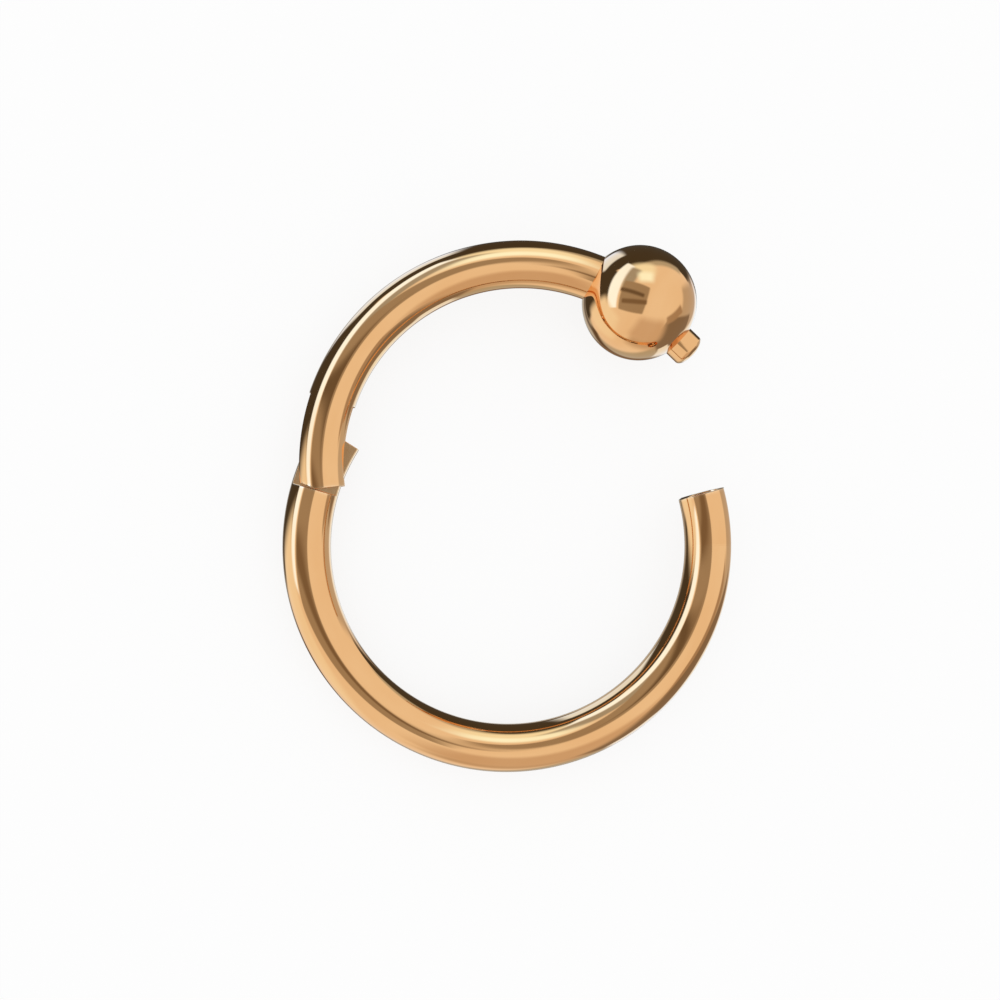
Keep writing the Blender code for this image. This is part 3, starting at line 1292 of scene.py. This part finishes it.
@dataclass(frozen=True)
class Studio:
    """The pale floor and the soft light round the ring."""

    stand: Matrix
    cards: tuple[Card, ...]
    room: tuple[float, float, float] = (0.97, 1.04, 1.1)
    floor_size: float = 1.2
    floor_glow: float = 0.84
    floor_white: float = 0.15
    even_light: float = 0.96

    def build(self) -> None:
        """Lays the floor and lights the scene."""
        self.build_floor()
        self.build_light()
        bpy.context.scene.view_settings.view_transform = "Standard"

    def build_floor(self) -> None:
        """Lays a plain pale floor under the ring, lit softly from below as well."""
        bm = bmesh.new()
        bmesh.ops.create_grid(bm, x_segments=1, y_segments=1, size=self.floor_size / 2)
        floor = object_from(bm, "pale_floor")
        material = bpy.data.materials.new("pale_floor")
        material.use_nodes = True
        shader = material.node_tree.nodes["Principled BSDF"]
        shader.inputs["Base Color"].default_value = (self.floor_white,) * 3 + (1.0,)
        shader.inputs["Roughness"].default_value = 1.0
        shader.inputs["Specular IOR Level"].default_value = 0.0
        shader.inputs["Emission Color"].default_value = (1.0, 1.0, 1.0, 1.0)
        shader.inputs["Emission Strength"].default_value = self.floor_glow
        floor.data.materials.append(material)
        floor.visible_glossy = False

    def build_light(self) -> None:
        """Hangs the cards round the ring, for reflections, and an even light for the floor."""
        world = bpy.data.worlds.new("soft_studio")
        world.use_nodes = True
        nodes = NodeBuilder(world.node_tree)
        tree = nodes.tree
        direction = tree.nodes.new("ShaderNodeTexCoord").outputs["Generated"]
        path = tree.nodes.new("ShaderNodeLightPath")
        mask = CardMask()
        colour = tree.nodes.new("ShaderNodeRGB").outputs[0]
        colour.default_value = (*self.room, 1.0)
        for card in self.cards:
            colour = self.hang(nodes, mask, card, direction, colour)
        even = tree.nodes["Background"]
        even.inputs["Color"].default_value = (self.even_light,) * 3 + (1.0,)
        hung = tree.nodes.new("ShaderNodeBackground")
        choice = tree.nodes.new("ShaderNodeMixShader")
        for source, target in (
            (colour, hung.inputs["Color"]),
            (path.outputs["Is Glossy Ray"], choice.inputs[0]),
            (even.outputs[0], choice.inputs[1]),
            (hung.outputs[0], choice.inputs[2]),
            (choice.outputs[0], tree.nodes["World Output"].inputs["Surface"]),
        ):
            tree.links.new(source, target)
        world.cycles.sampling_method = "NONE"
        bpy.context.scene.world = world

    def hang(
        self,
        nodes: NodeBuilder,
        mask: CardMask,
        card: Card,
        direction: bpy.types.NodeSocket,
        behind: bpy.types.NodeSocket,
    ) -> bpy.types.NodeSocket:
        """Hangs one card in front of what is already there.

        Args:
            nodes: The world's nodes.
            mask: The group that masks a card.
            card: The card.
            direction: The direction that is looked in.
            behind: The light behind the card.

        Returns:
            The light with the card in front.
        """
        node = nodes.tree.nodes.new("ShaderNodeGroup")
        node.node_tree = mask.tree
        node.label = card.name
        for name, way in zip(("Facing", "Across", "Upward"), card.directions(self.stand)):
            node.inputs[name].default_value = way
        for name, angle in (
            ("Half Width", card.half_width),
            ("Half Height", card.half_height),
            ("Softness", card.softness),
        ):
            node.inputs[name].default_value = math.tan(math.radians(angle))
        nodes.fill(node.inputs["Direction"], direction)
        return nodes.mix(node.outputs["Mask"], behind, (*card.colour, 1.0))


# From the farthest back to the nearest. The tints are linear, and above 1 where a card is a lamp.
CARDS = (
    Card("back", 165.3, 262.6, 24.1, 58.0, 32.7, 9.2, (0.53, 0.61, 0.63)),
    Card("low_back", 100.3, 287.9, 358.3, 36.9, 15.3, 11.4, (0.64, 0.62, 0.6)),
    Card("dark_top", 115.7, 86.8, 46.1, 49.1, 33.6, 3.7, (0.07, 0.07, 0.06)),
    Card("dark_right", 146.0, 43.7, 315.6, 28.6, 21.1, 4.5, (0.07, 0.07, 0.06)),
    Card("dark_left", 105.7, 154.7, 58.9, 33.4, 37.2, 4.5, (0.07, 0.07, 0.06)),
    Card("far_left", 147.2, 178.6, 92.4, 17.9, 4.8, 4.3, (0.17, 0.19, 0.21)),
    Card("far_strip", 125.4, 121.9, 41.3, 15.1, 17.6, 3.5, (0.95, 1.42, 2.25)),
    Card("tan_band", 87.6, 64.0, 17.9, 33.8, 5.4, 4.5, (0.53, 0.63, 0.69)),
    Card("cream_top", 63.0, 86.0, 0.0, 20.0, 13.0, 8.0, (1.1, 1.45, 1.66)),
    Card("top_strip", 61.7, 145.3, 65.8, 42.1, 11.3, 3.0, (1.22, 1.9, 3.2)),
    Card("lavender", 48.5, 115.1, 331.6, 10.2, 22.3, 4.3, (0.44, 0.54, 0.65)),
    Card("cream_spot", 46.0, 78.2, 359.0, 13.0, 10.0, 7.0, (1.2, 1.85, 2.5)),
    Card("grey_front", 17.1, 168.1, 343.2, 27.3, 29.5, 3.0, (0.41, 0.41, 0.39)),
    Card("upper_bar", 23.6, 141.3, 339.6, 24.4, 3.8, 3.0, (0.17, 0.15, 0.12)),
    Card("lower_bar", 16.2, 196.6, 353.9, 25.0, 4.6, 3.0, (0.23, 0.2, 0.16)),
    Card("right_grey", 123.3, 358.9, 355.8, 32.0, 22.5, 6.4, (0.6, 0.64, 0.68)),
    Card("right_patch", 102.7, 318.6, 64.0, 25.3, 30.8, 3.0, (0.27, 0.26, 0.25)),
    Card("right_edge", 79.4, 338.7, 32.8, 17.9, 7.1, 3.0, (0.46, 0.42, 0.38)),
    Card("right_crescent", 149.2, 336.7, 23.1, 22.0, 14.6, 3.5, (1.0, 1.3, 1.6)),
    Card("low_crescent", 137.8, 305.8, 41.1, 5.5, 14.4, 1.5, (1.0, 1.35, 1.8)),
    Card("warm_low", 68.2, 284.6, 343.4, 28.5, 24.7, 12.0, (0.72, 0.69, 0.67)),
    Card("bright_left", 91.6, 202.1, 40.2, 28.5, 26.8, 9.6, (1.03, 1.2, 1.32)),
    Card("right_rim", 143.0, 2.0, 90.0, 18.0, 3.0, 3.0, (1.0, 1.3, 1.7)),
    Card("low_rim", 154.0, 228.0, 90.0, 24.0, 6.0, 4.0, (0.14, 0.11, 0.08)),
    Card("back_rim", 168.0, 265.0, 0.0, 13.0, 11.0, 4.0, (0.24, 0.18, 0.12)),
)


def build_ring(sizes: RingSizes) -> None:
    """Builds the ring's pieces in order.

    Args:
        sizes: The ring's sizes.
    """
    lie = Lie(sizes)
    swung = lie.gate()
    wire = BentWireTree()
    peg_gold = RoseGold("peg_rose_gold", Polish.BRIGHT)
    pin_gold = RoseGold("pin_rose_gold", Polish.GROUND)
    hoop = Hoop(sizes, lie.hoop(), "hoop", "fixed_hoop", "hoop_gold", RoseGold("hoop_rose_gold"))
    gate = Gate(sizes, swung, "gate", "swinging_gate", "gate_gold", RoseGold("gate_rose_gold"))
    ball = Ball(sizes, swung, "ball", "swinging_gate", "ball_gold", RoseGold("ball_rose_gold"))
    peg = SnapPeg(sizes, swung, "snap_peg", "swinging_gate", "peg_gold", peg_gold)
    pin = HingePin(sizes, swung, "hinge_pin", "swinging_gate", "pin_gold", pin_gold)
    hoop.build(wire)
    gate.build(wire)
    for piece in (ball, peg, pin):
        piece.build()
    for piece in (hoop, gate, ball, peg, pin):
        piece.dress()
        piece.place()
        piece.hand_over()


def main() -> None:
    """Builds the ring, the studio and the camera."""
    logging.basicConfig(level=logging.INFO, format="%(message)s")
    sizes = RingSizes()
    lie = Lie(sizes).hoop()
    viewpoint = Viewpoint()
    viewpoint.build(lie)
    build_ring(sizes)
    Studio(viewpoint.stand(lie).to_quaternion().to_matrix(), CARDS).build()


if __name__ == "__main__":
    main()
